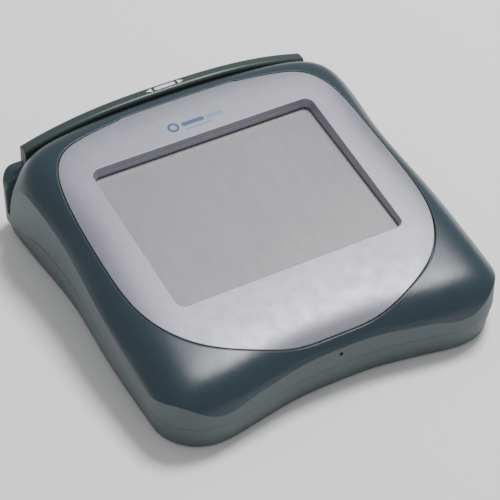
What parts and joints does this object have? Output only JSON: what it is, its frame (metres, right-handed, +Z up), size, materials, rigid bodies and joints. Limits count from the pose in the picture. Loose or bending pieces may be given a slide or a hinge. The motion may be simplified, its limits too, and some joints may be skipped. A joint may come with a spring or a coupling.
{
  "type": "signature capture terminal",
  "caption": "Sloped countertop touch terminal: rounded dark housing, silver bezel round a recessed touch display, card swipe slot along the back.",
  "frame": {"origin": "on the surface the feet rest on, under the middle of the housing's outline", "axes": "+Z up, +Y towards the card slot at the back, +X to the user's right"},
  "size_m": [0.1816, 0.19, 0.059],
  "materials": {
    "housing_plastic": "satin, finely textured sides",
    "bezel_silver": "satin metallic paint on plastic",
    "touch_glass": "matte anti-glare",
    "black_foam": "matte",
    "lcd_glass": "polished",
    "steel_sheet": "brushed",
    "clear_acrylic": "polished",
    "lamp_glass": "frosted",
    "flex_polyimide": "satin",
    "carrier_plastic": "moulded",
    "screw_steel": "zinc plated",
    "circuit_board": "solder mask",
    "chip_epoxy": "matte",
    "tinned_can": "tin plate",
    "connector_plastic": "moulded",
    "cell_steel": "polished",
    "buzzer_plastic": "moulded",
    "jack_plastic": "moulded",
    "button_plastic": "moulded",
    "rail_plastic": "satin",
    "head_metal": "polished",
    "spring_steel": "bright",
    "insert_brass": "knurled",
    "foot_rubber": "matte",
    "label_film": "blank polyester label"
  },
  "bodies": {
    "housing": {"lower_housing": "housing_plastic", "upper_housing": "housing_plastic", "display_bezel": "bezel_silver", "touch_seal": "black_foam", "touch_panel": "touch_glass", "touch_flex": "flex_polyimide", "lcd_cell": "lcd_glass", "lcd_frame": "steel_sheet", "backlight_guide": "clear_acrylic", "backlight_lamp": "lamp_glass", "lcd_flex": "flex_polyimide", "display_carrier": "carrier_plastic", "carrier_screws": "screw_steel", "main_board": "circuit_board", "processor": "chip_epoxy", "memory_chips": "chip_epoxy", "shield_can": "tinned_can", "board_connectors": "connector_plastic", "inverter_parts": "chip_epoxy", "cell_holder": "connector_plastic", "backup_cell": "cell_steel", "buzzer": "buzzer_plastic", "board_screws": "screw_steel", "interface_jack": "jack_plastic", "jack_board": "circuit_board", "jack_harness": "flex_polyimide", "reset_switch": "circuit_board", "swipe_rail": "rail_plastic", "slot_liner": "steel_sheet", "rail_screws": "screw_steel", "head_bracket": "carrier_plastic", "head_cable": "flex_polyimide", "housing_screws": "screw_steel", "threaded_inserts": "insert_brass", "rubber_feet": "foot_rubber", "rating_label": "label_film"},
    "reader_head": {"reader_head": "head_metal", "head_spring": "spring_steel"},
    "reset_button": {"reset_button": "button_plastic"}
  },
  "joints": [
    {"name": "head_float", "type": "slide", "parent": "housing", "child": "reader_head", "axis": [0, -1, 0], "range_m": [0, 0.0006], "stiffness_N_per_m": 900, "springref_m": -0.0004},
    {"name": "reset_press", "type": "slide", "parent": "housing", "child": "reset_button", "axis": [0, 1, 0], "range_m": [0, 0.0004], "stiffness_N_per_m": 1500, "springref_m": -0.0003}
  ]
}
